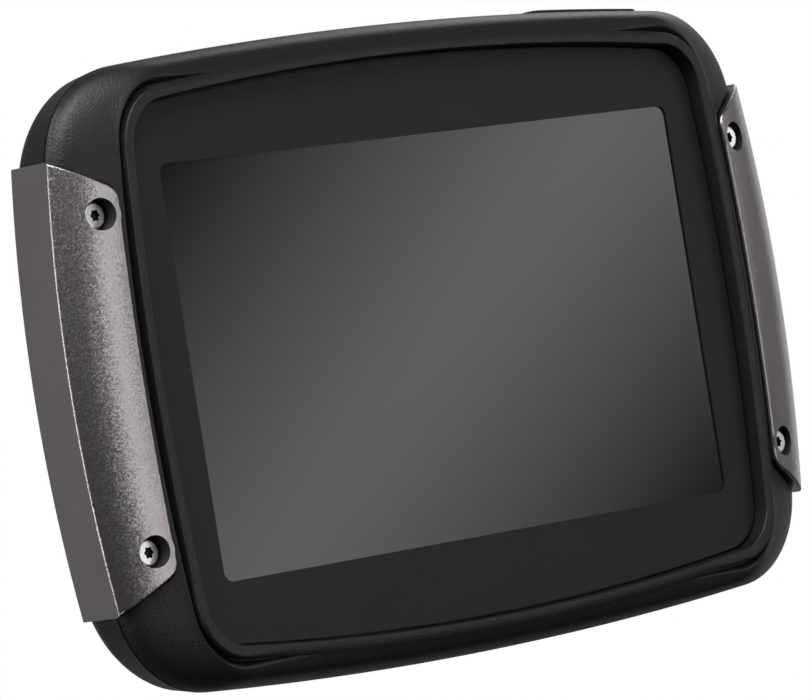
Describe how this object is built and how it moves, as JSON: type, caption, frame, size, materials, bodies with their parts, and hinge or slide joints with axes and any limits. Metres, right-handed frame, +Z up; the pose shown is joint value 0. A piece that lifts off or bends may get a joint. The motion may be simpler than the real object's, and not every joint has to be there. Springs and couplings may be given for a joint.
{
  "type": "portable gps navigator",
  "caption": "Rugged handlebar satellite navigator: bowed dark housing, recessed touch display, screwed metallic side trims, top power button, rear dock face and port cover.",
  "frame": {"origin": "centre of the flat dock face at the back of the unit", "axes": "+Y out of the dock face (the screen faces -Y), +X to the right seen from the screen side, +Z up"},
  "size_m": [0.1338, 0.0301, 0.0852],
  "materials": {
    "housing_plastic": "fine-grained matte",
    "bezel_plastic": "smooth satin",
    "screen_glass": "anti-glare coated touch glass",
    "black_foam": "closed-cell foam",
    "display_cell": "smooth",
    "pressed_steel": "pressed, tin plated",
    "flex_film": "polyimide film",
    "cast_alloy": "die cast",
    "circuit_board": "solder mask",
    "chip_plastic": "moulded",
    "ceramic": "fired ceramic",
    "battery_foil": "foil pouch",
    "lead_plastic": "insulated lead",
    "socket_steel": "stamped steel",
    "button_rubber": "soft-touch",
    "seal_rubber": "silicone",
    "trim_metallic": "gunmetal metallic lacquer",
    "screw_steel": "bright turned steel",
    "insert_brass": "knurled",
    "dark_screw_steel": "black oxide",
    "cover_rubber": "soft matte",
    "contact_plastic": "moulded",
    "contact_gold": "gold plated"
  },
  "bodies": {
    "root": {"front_housing": "housing_plastic", "back_housing": "housing_plastic", "bezel_frame": "bezel_plastic", "touch_panel": "screen_glass", "display_gasket": "black_foam", "lcd_panel": "display_cell", "backlight_tray": "pressed_steel", "lcd_flex": "flex_film", "chassis_frame": "cast_alloy", "main_board": "circuit_board", "board_chips": "chip_plastic", "shield_cans": "pressed_steel", "antenna_patch": "ceramic", "battery_pack": "battery_foil", "battery_pad": "black_foam", "battery_lead": "lead_plastic", "usb_socket": "socket_steel", "card_socket": "socket_steel", "power_switch": "socket_steel", "housing_seal": "seal_rubber", "trim_left": "trim_metallic", "trim_right": "trim_metallic", "trim_screws": "screw_steel", "trim_inserts": "insert_brass", "case_screws": "dark_screw_steel", "case_inserts": "insert_brass", "board_screws": "screw_steel", "cover_pin": "screw_steel", "contact_block": "contact_plastic", "dock_contacts": "contact_gold", "contact_seal": "seal_rubber", "dock_flex": "flex_film"},
    "button": {"power_button": "button_rubber", "switch_plunger": "chip_plastic"},
    "cover": {"port_cover": "cover_rubber"}
  },
  "joints": [
    {"name": "power_button_press", "type": "slide", "parent": "root", "child": "button", "axis": [0, 0, -1], "range_m": [0, 0.0005], "stiffness_N_per_m": 3000, "springref_m": -0.0003},
    {"name": "port_cover_hinge", "type": "hinge", "parent": "root", "child": "cover", "pos_m": [0, -0.0206, -0.0413], "axis": [-1, 0, 0], "range_deg": [0, 90]}
  ]
}
